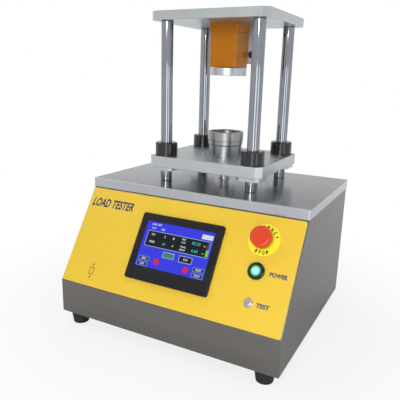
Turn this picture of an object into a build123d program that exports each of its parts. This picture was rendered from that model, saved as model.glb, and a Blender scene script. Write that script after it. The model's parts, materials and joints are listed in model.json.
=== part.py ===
from build123d import *
import math
import os

# Can axial load tester, in millimetres.
# Origin: centre of the footprint on the floor. X runs to the operator's right, Y to the rear, Z up.

# Clearances and broken edges
running_clearance = 0.05
slip_clearance = 0.15
panel_clearance = 0.5
load_gap = 1.0
cut_through = 6.0
edge_break = 0.8

# Console
console_width = 490.0
console_depth = 427.0
body_height = 252.0
apron_height = 71.0
sheet = 2.0
fold_radius = 1.5
top_flange = 20.0
floor_flange = 54.0
plate_depth = 312.0
plate_thickness = 20.0
plate_corner_radius = 3.0
plate_overhang_front = 1.5
plate_overhang_side = 1.0
plate_overhang_rear = 3.5
bottom_plate_gap = 1.0
rear_panel_margin = 6.0
rear_panel_corner = 4.0

# Feet
foot_height = 25.0
foot_top_dia = 40.0
foot_bottom_dia = 32.0
foot_bore_dia = 6.6
foot_recess_dia = 14.0
foot_recess_depth = 10.0
foot_from_side = 32.0
foot_from_front = 21.0
foot_from_rear = 70.0
foot_screw_dia = 6.0
foot_screw_head_dia = 11.0
foot_screw_head_height = 6.0
foot_nut_width = 10.0
foot_nut_height = 5.0

# Yellow overlay on the slope
overlay_thickness = 1.0
overlay_side_margin = 2.0
overlay_top_margin = 3.0
overlay_bottom_margin = 1.5
overlay_corner = 3.5

# Screen
screen_width = 185.0
screen_height = 137.5
screen_drop = 108.2
screen_corner = 5.0
bezel_height = 6.0
bezel_edge = 1.2
display_width = 154.0
display_height = 93.0
display_rise = 5.7
display_recess = 1.2
display_glass = 2.0
glass_lap = 3.0
screen_box_width = 172.0
screen_box_height = 122.0
screen_box_depth = 34.0
clamp_width = 16.0
clamp_height = 8.0
clamp_reach = 12.0
clamp_spacing = 110.0

# Stop button, power button and test button, all on one line down the slope
control_x = 171.5
stop_drop = 50.3
power_drop = 109.1
test_drop = 167.1
round_cut_dia = 22.5
stop_ring_dia = 60.0
stop_ring_thickness = 1.2
stop_collar_dia = 29.5
stop_collar_height = 9.0
stop_head_dia = 40.0
stop_head_lift = 15.0
stop_head_height = 14.0
stop_head_edge = 4.0
stop_dish_dia = 27.0
stop_dish_depth = 0.9
stop_dish_taper = 45.0
stop_skirt_depth = 4.0
stop_skirt_wall = 3.3
stop_stem_dia = 14.0
stop_stem_seat = 6.0
stop_travel = 5.0
power_bezel_dia = 32.0
power_bezel_height = 6.0
power_bezel_edge = 2.8
power_lens_dia = 24.0
power_lens_recess = 1.0
power_lens_thickness = 1.2
lens_stop_gap = 0.3
power_travel = 2.8
test_cut_dia = 16.2
test_bezel_dia = 18.0
test_bezel_height = 2.2
test_bezel_edge = 0.8
test_plunger_dia = 12.5
test_plunger_rise = 1.5
test_travel = 1.6
contact_block_width = 30.0
contact_block_depth = 26.0
test_block_width = 14.0
test_block_depth = 8.0
button_body_depth = 22.0
button_nut_height = 4.0
button_nut_dia = 29.0
test_body_dia = 15.8
test_body_depth = 24.0
test_nut_dia = 20.0
button_stop_gap = 1.0

# Columns and plates of the tower
tower_from_rear = 154.0
column_dia = 25.0
column_span_x = 202.0
column_span_y = 172.0
column_length = 331.5
column_edge = 1.0
crosshead_width = 256.0
crosshead_depth = 224.0
crosshead_thickness = 18.0
platform_width = 260.0
platform_depth = 230.0
platform_thickness = 23.0
platform_lift = 32.5
plate_clip = 11.5
plate_bevel = 0.6
column_screw_dia = 12.0
column_screw_head_dia = 18.0
column_screw_head_height = 12.0
column_screw_length = 30.0
column_screw_socket = 10.0
counterbore_dia = 20.0
counterbore_depth = 12.5

# Linear bearings and their caps
bearing_dia = 40.0
bearing_flange_width = 50.0
bearing_flange_dia = 62.0
bearing_flange_thickness = 8.0
bearing_screw_circle = 51.0
bearing_screw_dia = 5.0
bearing_screw_head_dia = 8.5
bearing_screw_head_height = 5.0
bearing_screw_grip = 12.0
bearing_stand = 25.0
cap_dia = 47.5
cap_wall_top = 3.3
cap_edge = 2.0
cap_bore_gap = 0.6

# Anvil
anvil_base_dia = 73.0
anvil_base_height = 22.8
anvil_foot_ring_dia = 73.0
anvil_foot_ring_height = 6.2
anvil_groove = 0.9
anvil_groove_width = 1.6
anvil_neck_dia = 76.0
anvil_neck_height = 9.7
anvil_cup_dia = 78.5
anvil_cup_height = 29.0
can_dia = 66.2
can_clearance = 0.4
cup_depth = 6.6
cup_lead_in = 1.2
anvil_screw_dia = 10.0
anvil_screw_head_dia = 16.0
anvil_screw_head_height = 10.0
anvil_screw_grip = 15.0
anvil_screw_socket = 8.0

# Load head
platen_dia = 78.5
platen_thickness = 15.8
platen_edge = 0.6
platen_boss_dia = 30.0
platen_stud_dia = 10.0
platen_stud_reach = 12.0
housing_width = 62.5
housing_depth = 60.0
housing_wall = 3.0
housing_corner = 3.5
housing_height = 71.7
housing_cap_height = 16.5
housing_cap_lap = 2.0
cell_width = 50.0
cell_thickness = 20.0
cell_height = 60.0
cell_slot = 5.0
cell_slot_from_end = 13.0
cell_web = 10.0
cell_window_dia = 18.0
cell_screw_dia = 12.0
cell_screw_head_dia = 18.0
cell_screw_head_height = 8.0
cell_screw_depth = 14.0
cell_screw_socket = 8.0
bracket_width = 93.0
bracket_thickness = 8.0
bracket_height = 79.5
bracket_foot = 30.0
bracket_screw_dia = 8.0
bracket_screw_head_dia = 13.5
bracket_screw_head_height = 8.0
bracket_screw_grip = 6.0
bracket_screw_span = 79.5
bracket_screw_drop = 60.0
bracket_bolt_span = 60.0
bracket_bolt_grip = 12.0

# Lift: ram, screw and their supports under the console plate
ram_dia = 20.0
ram_bore_dia = 13.5
ram_flange_dia = 52.0
ram_flange_thickness = 9.0
ram_screw_circle = 38.0
ram_screw_dia = 5.0
ram_screw_head_dia = 8.5
ram_screw_head_height = 5.0
ram_screw_grip = 12.0
bush_dia = 28.0
guide_block_margin = 10.0
guide_block_depth = 50.0
guide_block_height = 30.0
guide_screw_span = 116.0
nut_dia = 26.0
nut_length = 30.0
nut_flange_dia = 42.0
nut_flange_thickness = 9.0
nut_below_guide = 6.0
screw_dia = 12.0
screw_journal_dia = 10.0
screw_over_nut = 4.0
thrust_block_width = 56.0
thrust_block_height = 22.0
thrust_block_gap = 6.0
thrust_bearing_dia = 30.0
thrust_bearing_height = 18.0
base_plate_thickness = 14.0
base_plate_left = 92.0
base_plate_right = 176.0
base_plate_margin = 15.0
post_dia = 16.0
post_span_x = 136.0
post_span_y = 176.0
post_screw_dia = 6.0
post_screw_head_dia = 11.0
post_screw_head_height = 3.3
post_screw_length = 30.0

# Belt drive
pulley_gap = 3.0
belt_width = 15.0
belt_thickness = 2.0
belt_gap = 0.3
belt_side_gap = 0.3
belt_floor_gap = 30.0
screw_pulley_dia = 57.3
motor_pulley_dia = 28.65
pulley_flange = 2.0
pulley_flange_thickness = 1.2
pulley_teeth = 36
tooth_depth = 1.6
tooth_width = 2.6
drive_spacing = 125.0
motor_width = 84.0
motor_height = 98.0
motor_corner = 8.0
motor_shaft_dia = 12.0
motor_shaft_bore = 28.0

# Electrics on the console's floor
supply_width = 97.0
supply_depth = 160.0
supply_height = 38.0
supply_x = -187.0
supply_y = 45.0
driver_width = 120.0
driver_depth = 33.0
driver_height = 112.0
driver_gap = 10.0
controller_width = 90.0
controller_depth = 75.0
controller_height = 60.0
controller_x = -150.0
controller_y = -120.0

# Mains inlet on the rear panel
inlet_x = -170.0
inlet_z = 92.0
inlet_width = 32.0
inlet_height = 62.0
inlet_flange = 2.5
inlet_body_width = 27.0
inlet_body_height = 56.0
inlet_body_depth = 28.0
inlet_corner = 2.5
socket_width = 24.5
socket_height = 17.0
socket_depth = 14.0
socket_drop = 15.0
rocker_width = 19.0
rocker_height = 13.0
rocker_depth = 6.0
rocker_rise = 16.0
rocker_gap = 0.6
rocker_dish = 1.6
rocker_pivot_depth = 3.0
rocker_tilt = 7.0
rocker_pin_dia = 3.0
rocker_pin_reach = 2.0
rocker_pocket_depth = 12.0

# Vents and cover screws
vent_count = 9
vent_width = 3.0
vent_height = 60.0
vent_pitch = 8.0
vent_x = 120.0
vent_z = 190.0
cover_screw_dia = 4.0
cover_screw_head_dia = 7.5
cover_screw_head_height = 1.6
cover_screw_length = 7.0
cover_screw_inset = 9.0

# Levels of the console and tower
body_bottom = foot_height
body_top = body_bottom + body_height
plate_top = body_top + plate_thickness
apron_top = body_bottom + apron_height
crosshead_bottom = plate_top + column_length
crosshead_top = crosshead_bottom + crosshead_thickness
platform_bottom = plate_top + platform_lift
platform_top = platform_bottom + platform_thickness
anvil_neck_z = platform_top + anvil_base_height

# The stack of the lift from the console plate down to the floor, which leaves the platform's travel
pulley_height = belt_width + 2 * (pulley_flange_thickness + belt_side_gap)
lift_stack = guide_block_height + nut_below_guide + nut_flange_thickness + nut_length
lift_stack += thrust_block_gap + thrust_block_height + base_plate_thickness + pulley_gap + pulley_height
platform_travel = body_height - 2 * sheet - lift_stack - belt_floor_gap

# Fore-and-aft places
front_y = -console_depth / 2
rear_y = console_depth / 2
plate_front = rear_y - plate_depth
plate_middle = rear_y - plate_depth / 2
slope_top_y = plate_front + plate_overhang_front
panel_rear = rear_y - plate_overhang_rear
shell_rear = panel_rear - sheet
shell_half = console_width / 2 - plate_overhang_side
tower_y = rear_y - tower_from_rear
bracket_offset = housing_depth / 2 + housing_cap_lap
bracket_front = tower_y + bracket_offset
bracket_bolt_y = bracket_offset + (bracket_thickness + bracket_foot) / 2

# The slope: its plane starts at the top edge of the shell, and its y axis points up the slope
slope_run = slope_top_y - front_y
slope_rise = body_top - apron_top
slope_length = math.hypot(slope_run, slope_rise)
slope = Plane(origin=(0, slope_top_y, body_top), x_dir=(1, 0, 0), z_dir=(0, -slope_rise, slope_run))
slope_way = Axis(slope.origin, slope.y_dir)
out_of_slope = Axis(slope.origin, slope.z_dir)
panel_face = slope.offset(overlay_thickness)


def write_piece(piece, name):
    """Label a finished piece and write it to its own file."""
    piece.part.label = name
    export_step(piece.part, f"parts/{name}.step")


def tower_level(z):
    """The horizontal plane at a height, centred on the tower's axis."""
    return Plane(origin=(0, tower_y, z))


def underside(x, y, z):
    """A plane at a point of a lower face, looking down."""
    return Plane(origin=(x, y, z), x_dir=(1, 0, 0), z_dir=(0, 0, -1))


def on_slope(x, drop, height=0.0):
    """A plane on the overlay's face, at a distance down the slope and a height above the face."""
    return Plane(origin=panel_face.from_local_coords((x, -drop, height)), x_dir=(1, 0, 0), z_dir=slope.z_dir)


def turned(plane, outline):
    """A round solid turned about a plane's normal, from (radius, height) points."""
    section = Plane(origin=plane.origin, x_dir=plane.x_dir, z_dir=-plane.y_dir)
    with BuildPart() as piece:
        with BuildSketch(section):
            with BuildLine():
                Polyline(*outline, close=True)
            make_face()
        revolve(axis=Axis(plane.origin, plane.z_dir))
    return piece.part


def cap_screw(shank_dia, shank_length, head_dia, head_height, socket_width=0.0):
    """A screw with its head's underside on the XY plane and its shank below it."""
    with BuildPart() as screw:
        with BuildSketch():
            Circle(head_dia / 2)
        extrude(amount=head_height)
        with BuildSketch():
            Circle(shank_dia / 2)
        extrude(amount=-shank_length)
        if socket_width > 0:
            with BuildSketch(Plane.XY.offset(head_height)):
                RegularPolygon(socket_width / 2, 6, major_radius=False)
            extrude(amount=-head_height / 2, mode=Mode.SUBTRACT)
    return screw.part


def placed(shape, plane):
    """A shape moved from the XY plane to another plane."""
    return plane.location * shape


def clipped_plate(plane, width, depth, thickness):
    """A machined plate with clipped corners and a light bevel on its faces."""
    with BuildPart() as plate:
        with BuildSketch(plane) as outline:
            Rectangle(width, depth)
            chamfer(outline.vertices(), plate_clip)
        extrude(amount=thickness)
        chamfer(plate.faces().filter_by(Axis.Z).edges(), plate_bevel)
    return plate.part


os.makedirs("parts", exist_ok=True)

foot_spots = [
    (side * (shell_half - foot_from_side), y)
    for side in (-1, 1)
    for y in (front_y + foot_from_front, panel_rear - foot_from_rear)
]
column_spots = {
    "front_left": (-column_span_x / 2, tower_y - column_span_y / 2),
    "front_right": (column_span_x / 2, tower_y - column_span_y / 2),
    "rear_left": (-column_span_x / 2, tower_y + column_span_y / 2),
    "rear_right": (column_span_x / 2, tower_y + column_span_y / 2),
}
rear_plane = Plane(origin=(0, shell_rear, 0), x_dir=(-1, 0, 0), z_dir=(0, 1, 0))
panel_half = shell_half - rear_panel_margin
panel_low = body_bottom + rear_panel_margin
panel_high = body_top - rear_panel_margin
cover_screw_spots = [
    (x * (panel_half - cover_screw_inset), z)
    for x in (-1, 0, 1)
    for z in (panel_low + cover_screw_inset, panel_high - cover_screw_inset)
]
shell_outline = [
    (front_y, body_bottom),
    (front_y, apron_top),
    (slope_top_y, body_top),
    (shell_rear, body_top),
    (shell_rear, body_bottom),
]

# Body shell: folded sheet, open under the console plate, at the floor and at the rear
with BuildPart() as body_shell:
    with BuildSketch(Plane.YZ):
        with BuildLine():
            Polyline(*shell_outline, close=True)
        make_face()
    extrude(amount=shell_half, both=True)
    apron_face = body_shell.faces().sort_by(Axis.Y)[0]
    slope_face = body_shell.faces().sort_by(Axis.Y)[1]
    front_folds = apron_face.edges().filter_by(Axis.Z) + slope_face.edges().filter_by(slope_way)
    front_folds += apron_face.edges().filter_by(Axis.X).sort_by(Axis.Z)[-1:]
    fillet(front_folds, fold_radius)
    with BuildSketch(Plane.YZ):
        with BuildLine():
            Polyline(*shell_outline, close=True)
        make_face()
        offset(amount=-sheet, kind=Kind.INTERSECTION, mode=Mode.REPLACE)
    extrude(amount=shell_half - sheet, both=True, mode=Mode.SUBTRACT)
    with BuildSketch(Plane.XY.offset(body_top)):
        with Locations((0, (slope_top_y + shell_rear) / 2)):
            Rectangle(2 * (shell_half - top_flange), shell_rear - slope_top_y - 2 * top_flange)
    extrude(amount=-sheet, mode=Mode.SUBTRACT)
    with BuildSketch(Plane.XY.offset(body_bottom)):
        with Locations((0, (front_y + shell_rear) / 2)):
            Rectangle(2 * (shell_half - floor_flange), shell_rear - front_y - 2 * floor_flange)
        with Locations(*foot_spots):
            Circle(foot_bore_dia / 2)
    extrude(amount=sheet, mode=Mode.SUBTRACT)
    with BuildSketch(rear_plane):
        with Locations((0, (body_bottom + body_top) / 2)):
            Rectangle(2 * (shell_half - top_flange), body_height - 2 * top_flange)
    extrude(amount=-sheet, mode=Mode.SUBTRACT)
    with BuildSketch(rear_plane):
        with Locations(*cover_screw_spots):
            Circle(cover_screw_dia / 2 + slip_clearance)
    extrude(amount=-sheet, mode=Mode.SUBTRACT)
    with BuildSketch(slope):
        with Locations((0, -screen_drop)):
            Rectangle(screen_box_width + 2 * panel_clearance, screen_box_height + 2 * panel_clearance)
        with Locations((control_x, -stop_drop), (control_x, -power_drop)):
            Circle(round_cut_dia / 2)
        with Locations((control_x, -test_drop)):
            Circle(test_cut_dia / 2)
    extrude(amount=-cut_through, mode=Mode.SUBTRACT)
write_piece(body_shell, "body_shell")

# Front overlay: the yellow sheet on the slope
with BuildPart() as front_overlay:
    with BuildSketch(slope):
        overlay_length = slope_length - overlay_top_margin - overlay_bottom_margin
        with Locations((0, -overlay_top_margin - overlay_length / 2)):
            RectangleRounded(2 * (shell_half - overlay_side_margin), overlay_length, overlay_corner)
        with Locations((0, -screen_drop)):
            Rectangle(
                screen_box_width + 2 * panel_clearance,
                screen_box_height + 2 * panel_clearance,
                mode=Mode.SUBTRACT,
            )
        with Locations((control_x, -stop_drop), (control_x, -power_drop)):
            Circle(round_cut_dia / 2, mode=Mode.SUBTRACT)
        with Locations((control_x, -test_drop)):
            Circle(test_cut_dia / 2, mode=Mode.SUBTRACT)
    extrude(amount=overlay_thickness)
write_piece(front_overlay, "front_overlay")

# Bottom plate: lies on the shell's floor flanges
with BuildPart() as bottom_plate:
    inside_margin = sheet + bottom_plate_gap
    with BuildSketch(Plane.XY.offset(body_bottom + sheet)):
        with Locations((0, (front_y + shell_rear) / 2)):
            Rectangle(2 * (shell_half - inside_margin), shell_rear - front_y - 2 * inside_margin)
        with Locations(*foot_spots):
            Circle(foot_bore_dia / 2, mode=Mode.SUBTRACT)
    extrude(amount=sheet)
write_piece(bottom_plate, "bottom_plate")

# Rear panel: screwed on the shell's rear flanges, with the inlet's cut-out and two rows of vents
with BuildPart() as rear_panel:
    with BuildSketch(rear_plane):
        with Locations((0, (panel_low + panel_high) / 2)):
            RectangleRounded(2 * panel_half, panel_high - panel_low, rear_panel_corner)
        with Locations((-inlet_x, inlet_z)):
            Rectangle(
                inlet_body_width + 2 * panel_clearance,
                inlet_body_height + 2 * panel_clearance,
                mode=Mode.SUBTRACT,
            )
        with Locations((-vent_x, vent_z), (vent_x, vent_z)):
            with GridLocations(vent_pitch, 0, vent_count, 1):
                Rectangle(vent_width, vent_height, mode=Mode.SUBTRACT)
        with Locations(*cover_screw_spots):
            Circle(cover_screw_dia / 2 + slip_clearance, mode=Mode.SUBTRACT)
    extrude(amount=sheet)
write_piece(rear_panel, "rear_panel")

# Cover screws of the rear panel
with BuildPart() as cover_screws:
    cover_screw = cap_screw(
        cover_screw_dia, cover_screw_length, cover_screw_head_dia, cover_screw_head_height
    )
    for x, z in cover_screw_spots:
        add(placed(cover_screw, Plane(origin=(x, panel_rear, z), x_dir=(-1, 0, 0), z_dir=(0, 1, 0))))
write_piece(cover_screws, "cover_screws")

# Console plate: carries the columns, and the lift hangs below it
with BuildPart() as console_plate:
    with BuildSketch(Plane.XY.offset(body_top)):
        with Locations((0, plate_middle)):
            RectangleRounded(console_width, plate_depth, plate_corner_radius)
    extrude(amount=plate_thickness)
    chamfer(console_plate.faces().filter_by(Axis.Z).edges(), edge_break)
    with Locations(underside(0, tower_y, body_top)):
        with GridLocations(column_span_x, column_span_y, 2, 2):
            CounterBoreHole(
                column_screw_dia / 2 + slip_clearance,
                counterbore_dia / 2,
                counterbore_depth,
                plate_thickness,
            )
    with BuildSketch(tower_level(body_top)):
        Circle(bush_dia / 2 + slip_clearance)
    extrude(amount=plate_thickness, mode=Mode.SUBTRACT)
    with Locations(tower_level(plate_top)):
        with GridLocations(post_span_x, post_span_y, 2, 2):
            CounterBoreHole(
                post_screw_dia / 2 + slip_clearance,
                post_screw_head_dia / 2 + slip_clearance,
                post_screw_head_height,
                plate_thickness,
            )
        with GridLocations(guide_screw_span, 0, 2, 1):
            CounterBoreHole(
                post_screw_dia / 2 + slip_clearance,
                post_screw_head_dia / 2 + slip_clearance,
                post_screw_head_height,
                plate_thickness,
            )
write_piece(console_plate, "console_plate")

# Feet: tapered rubber with a recessed screw
foot_outline = [
    (foot_bore_dia / 2, 0),
    (foot_top_dia / 2, 0),
    (foot_bottom_dia / 2, foot_height),
    (foot_recess_dia / 2, foot_height),
    (foot_recess_dia / 2, foot_height - foot_recess_depth),
    (foot_bore_dia / 2, foot_height - foot_recess_depth),
]
with BuildPart() as rubber_feet:
    for x, y in foot_spots:
        add(turned(underside(x, y, body_bottom), foot_outline))
write_piece(rubber_feet, "rubber_feet")

# Foot screws with their nuts on the bottom plate
with BuildPart() as foot_screws:
    foot_screw = cap_screw(
        foot_screw_dia,
        foot_height - foot_recess_depth + 2 * sheet + foot_nut_height,
        foot_screw_head_dia,
        foot_screw_head_height,
    )
    for x, y in foot_spots:
        add(placed(foot_screw, underside(x, y, foot_recess_depth)))
        with BuildSketch(Plane(origin=(x, y, body_bottom + 2 * sheet))):
            RegularPolygon(foot_nut_width / 2, 6, major_radius=False)
        extrude(amount=foot_nut_height)
write_piece(foot_screws, "foot_screws")

# Columns: ground shafts, tapped at both ends
column_outline = [
    (column_screw_dia / 2 + slip_clearance, 0),
    (column_dia / 2 - column_edge, 0),
    (column_dia / 2, column_edge),
    (column_dia / 2, column_length - column_edge),
    (column_dia / 2 - column_edge, column_length),
    (column_screw_dia / 2 + slip_clearance, column_length),
]
for name, (x, y) in column_spots.items():
    with BuildPart() as column:
        add(turned(Plane(origin=(x, y, plate_top)), column_outline))
    write_piece(column, f"column_{name}")

# Column screws: from below through the console plate, and from above through the crosshead
with BuildPart() as column_screws:
    column_screw = cap_screw(
        column_screw_dia,
        column_screw_length,
        column_screw_head_dia,
        column_screw_head_height,
        column_screw_socket,
    )
    for x, y in column_spots.values():
        add(placed(column_screw, underside(x, y, body_top + counterbore_depth)))
        add(placed(column_screw, Plane(origin=(x, y, crosshead_top - counterbore_depth))))
write_piece(column_screws, "column_screws")

# Crosshead plate
with BuildPart() as crosshead_plate:
    add(clipped_plate(tower_level(crosshead_bottom), crosshead_width, crosshead_depth, crosshead_thickness))
    with Locations(tower_level(crosshead_top)):
        with GridLocations(column_span_x, column_span_y, 2, 2):
            CounterBoreHole(
                column_screw_dia / 2 + slip_clearance,
                counterbore_dia / 2,
                counterbore_depth,
                crosshead_thickness,
            )
        CounterBoreHole(
            cell_screw_dia / 2 + slip_clearance,
            cell_screw_head_dia / 2 + panel_clearance,
            cell_screw_head_height,
            crosshead_thickness,
        )
    with BuildSketch(tower_level(crosshead_bottom)):
        with Locations((0, bracket_bolt_y)):
            with GridLocations(bracket_bolt_span, 0, 2, 1):
                Circle(bracket_screw_dia / 2 + slip_clearance)
    extrude(amount=bracket_bolt_grip, mode=Mode.SUBTRACT)
write_piece(crosshead_plate, "crosshead_plate")

# Load head: cap, housing, cell, platen and the bracket behind
cap_bottom = crosshead_bottom - housing_cap_height
housing_bottom = cap_bottom - housing_height
cell_bottom = cap_bottom - cell_height
platen_top = housing_bottom - load_gap
platen_bottom = platen_top - platen_thickness
with BuildPart() as load_cell_cap:
    with BuildSketch(tower_level(cap_bottom)):
        RectangleRounded(
            housing_width + 2 * housing_cap_lap,
            housing_depth + 2 * housing_cap_lap,
            housing_corner + housing_cap_lap,
        )
        Circle(cell_screw_dia / 2 + slip_clearance, mode=Mode.SUBTRACT)
    extrude(amount=housing_cap_height)
write_piece(load_cell_cap, "load_cell_cap")

with BuildPart() as load_cell_housing:
    with BuildSketch(tower_level(housing_bottom)):
        RectangleRounded(housing_width, housing_depth, housing_corner)
    extrude(amount=housing_height)
    with BuildSketch(tower_level(cap_bottom)):
        RectangleRounded(
            housing_width - 2 * housing_wall,
            housing_depth - 2 * housing_wall,
            housing_corner - housing_wall,
        )
    extrude(amount=-(housing_height - housing_wall), mode=Mode.SUBTRACT)
    with BuildSketch(tower_level(housing_bottom)):
        Circle(platen_boss_dia / 2 + load_gap)
    extrude(amount=housing_wall, mode=Mode.SUBTRACT)
write_piece(load_cell_housing, "load_cell_housing")

with BuildPart() as load_cell:
    cell_middle = (cap_bottom + cell_bottom) / 2
    cell_side = Plane(origin=(0, tower_y, cell_middle), x_dir=(1, 0, 0), z_dir=(0, -1, 0))
    slot_length = cell_width - cell_web
    slot_rise = cell_height / 2 - cell_slot_from_end
    with BuildSketch(cell_side):
        Rectangle(cell_width, cell_height)
        with Locations((-cell_web / 2, slot_rise)):
            Rectangle(slot_length, cell_slot, mode=Mode.SUBTRACT)
        with Locations((cell_web / 2, -slot_rise)):
            Rectangle(slot_length, cell_slot, mode=Mode.SUBTRACT)
        Circle(cell_window_dia / 2, mode=Mode.SUBTRACT)
    extrude(amount=cell_thickness / 2, both=True)
    with BuildSketch(tower_level(cap_bottom)):
        Circle(cell_screw_dia / 2 + slip_clearance)
    extrude(amount=-cell_screw_depth, mode=Mode.SUBTRACT)
    with BuildSketch(tower_level(cell_bottom)):
        Circle(platen_stud_dia / 2 + slip_clearance)
    extrude(amount=platen_stud_reach, mode=Mode.SUBTRACT)
write_piece(load_cell, "load_cell")

platen_outline = [
    (0, platen_bottom - plate_top),
    (platen_dia / 2 - platen_edge, platen_bottom - plate_top),
    (platen_dia / 2, platen_bottom + platen_edge - plate_top),
    (platen_dia / 2, platen_top - platen_edge - plate_top),
    (platen_dia / 2 - platen_edge, platen_top - plate_top),
    (platen_boss_dia / 2, platen_top - plate_top),
    (platen_boss_dia / 2, cell_bottom - plate_top),
    (platen_stud_dia / 2, cell_bottom - plate_top),
    (platen_stud_dia / 2, cell_bottom + platen_stud_reach - plate_top),
    (0, cell_bottom + platen_stud_reach - plate_top),
]
with BuildPart() as upper_platen:
    add(turned(tower_level(plate_top), platen_outline))
write_piece(upper_platen, "upper_platen")

bracket_plane = Plane(origin=(0, bracket_front, crosshead_bottom), x_dir=(1, 0, 0), z_dir=(0, -1, 0))
with BuildPart() as head_bracket:
    with BuildSketch(Plane(origin=(0, bracket_front, crosshead_bottom), x_dir=(0, 1, 0), z_dir=(1, 0, 0))):
        with BuildLine():
            Polyline(
                (0, 0),
                (bracket_foot, 0),
                (bracket_foot, -bracket_thickness),
                (bracket_thickness, -bracket_thickness),
                (bracket_thickness, -bracket_height),
                (0, -bracket_height),
                close=True,
            )
        make_face()
    extrude(amount=bracket_width / 2, both=True)
    with BuildSketch(bracket_plane):
        with Locations((0, -bracket_screw_drop)):
            with GridLocations(bracket_screw_span, 0, 2, 1):
                Circle(bracket_screw_dia / 2 + slip_clearance)
    extrude(amount=-bracket_thickness, mode=Mode.SUBTRACT)
    with BuildSketch(tower_level(crosshead_bottom)):
        with Locations((0, bracket_bolt_y)):
            with GridLocations(bracket_bolt_span, 0, 2, 1):
                Circle(bracket_screw_dia / 2 + slip_clearance)
    extrude(amount=-bracket_thickness, mode=Mode.SUBTRACT)
write_piece(head_bracket, "head_bracket")

# Head screws: the load cell's bolt, the bracket's two bolts and its two black screws
with BuildPart() as black_screw:
    add(cap_screw(bracket_screw_dia, bracket_screw_grip, bracket_screw_head_dia, bracket_screw_head_height))
    fillet(black_screw.edges().group_by(Axis.Z)[-1], bracket_screw_head_height / 2)
with BuildPart() as head_screws:
    cell_bolt = cap_screw(
        cell_screw_dia,
        crosshead_thickness - cell_screw_head_height + housing_cap_height + cell_screw_depth,
        cell_screw_head_dia,
        cell_screw_head_height,
        cell_screw_socket,
    )
    add(placed(cell_bolt, tower_level(crosshead_top - cell_screw_head_height)))
    bracket_bolt = cap_screw(
        bracket_screw_dia,
        bracket_thickness + bracket_bolt_grip,
        bracket_screw_head_dia,
        bracket_screw_head_height,
    )
    for side in (-1, 1):
        foot_face = underside(
            side * bracket_bolt_span / 2,
            tower_y + bracket_bolt_y,
            crosshead_bottom - bracket_thickness,
        )
        add(placed(bracket_bolt, foot_face))
        spot = bracket_plane.from_local_coords((side * bracket_screw_span / 2, -bracket_screw_drop, 0))
        add(placed(black_screw.part, Plane(origin=spot, x_dir=(1, 0, 0), z_dir=(0, -1, 0))))
write_piece(head_screws, "head_screws")

# Moving plate: rides on the columns, carries the anvil and is pushed by the ram
with BuildPart() as moving_plate:
    add(clipped_plate(tower_level(platform_bottom), platform_width, platform_depth, platform_thickness))
    with Locations(tower_level(platform_top)):
        with GridLocations(column_span_x, column_span_y, 2, 2):
            Hole(bearing_dia / 2 + slip_clearance, platform_thickness)
        Hole(anvil_screw_dia / 2 + slip_clearance, anvil_screw_grip)
    with Locations(underside(0, tower_y, platform_bottom)):
        with PolarLocations(ram_screw_circle / 2, 4):
            Hole(ram_screw_dia / 2 + slip_clearance, ram_screw_grip)
    for x, y in column_spots.values():
        with Locations(underside(x, y, platform_bottom)):
            with PolarLocations(bearing_screw_circle / 2, 4, start_angle=45):
                Hole(bearing_screw_dia / 2 + slip_clearance, bearing_screw_grip)
write_piece(moving_plate, "moving_plate")

# Linear bearings: square flange under the plate, sleeve up through it, running on the column
bearing_top = platform_thickness + bearing_stand
bearing_bore = column_dia / 2 + running_clearance
bearing_outline = [
    (bearing_bore, -bearing_flange_thickness),
    (bearing_dia / 2, -bearing_flange_thickness),
    (bearing_dia / 2, bearing_top),
    (bearing_bore, bearing_top),
]
cap_top = bearing_top + cap_wall_top
cap_outline = [
    (bearing_dia / 2 + slip_clearance, platform_thickness),
    (cap_dia / 2, platform_thickness),
    (cap_dia / 2, cap_top - cap_edge),
    (cap_dia / 2 - cap_edge, cap_top),
    (column_dia / 2 + cap_bore_gap, cap_top),
    (column_dia / 2 + cap_bore_gap, bearing_top),
    (bearing_dia / 2 + slip_clearance, bearing_top),
]
with BuildPart() as linear_bearings:
    for x, y in column_spots.values():
        add(turned(Plane(origin=(x, y, platform_bottom)), bearing_outline))
        with BuildSketch(underside(x, y, platform_bottom)):
            Rectangle(bearing_flange_width, bearing_flange_width)
            Circle(bearing_flange_dia / 2, mode=Mode.INTERSECT)
            Circle(bearing_bore, mode=Mode.SUBTRACT)
        extrude(amount=bearing_flange_thickness)
        with Locations(underside(x, y, platform_bottom - bearing_flange_thickness)):
            with PolarLocations(bearing_screw_circle / 2, 4, start_angle=45):
                CounterBoreHole(
                    bearing_screw_dia / 2 + slip_clearance,
                    bearing_screw_head_dia / 2 + slip_clearance,
                    bearing_screw_head_height,
                    bearing_flange_thickness,
                )
write_piece(linear_bearings, "linear_bearings")

with BuildPart() as bearing_caps:
    for x, y in column_spots.values():
        add(turned(Plane(origin=(x, y, platform_bottom)), cap_outline))
write_piece(bearing_caps, "bearing_caps")

# Anvil: a base and a cup that centres the can, held by one screw
anvil_bore = anvil_screw_dia / 2 + slip_clearance
ring_top = anvil_foot_ring_height
anvil_base_outline = [
    (anvil_bore, 0),
    (anvil_foot_ring_dia / 2, 0),
    (anvil_foot_ring_dia / 2, ring_top),
    (anvil_base_dia / 2 - anvil_groove, ring_top),
    (anvil_base_dia / 2 - anvil_groove, ring_top + anvil_groove_width),
    (anvil_base_dia / 2, ring_top + anvil_groove_width),
    (anvil_base_dia / 2, anvil_base_height - anvil_groove),
    (anvil_base_dia / 2 - anvil_groove, anvil_base_height),
    (anvil_bore, anvil_base_height),
]
with BuildPart() as anvil_base:
    add(turned(tower_level(platform_top), anvil_base_outline))
write_piece(anvil_base, "anvil_base")

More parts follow.
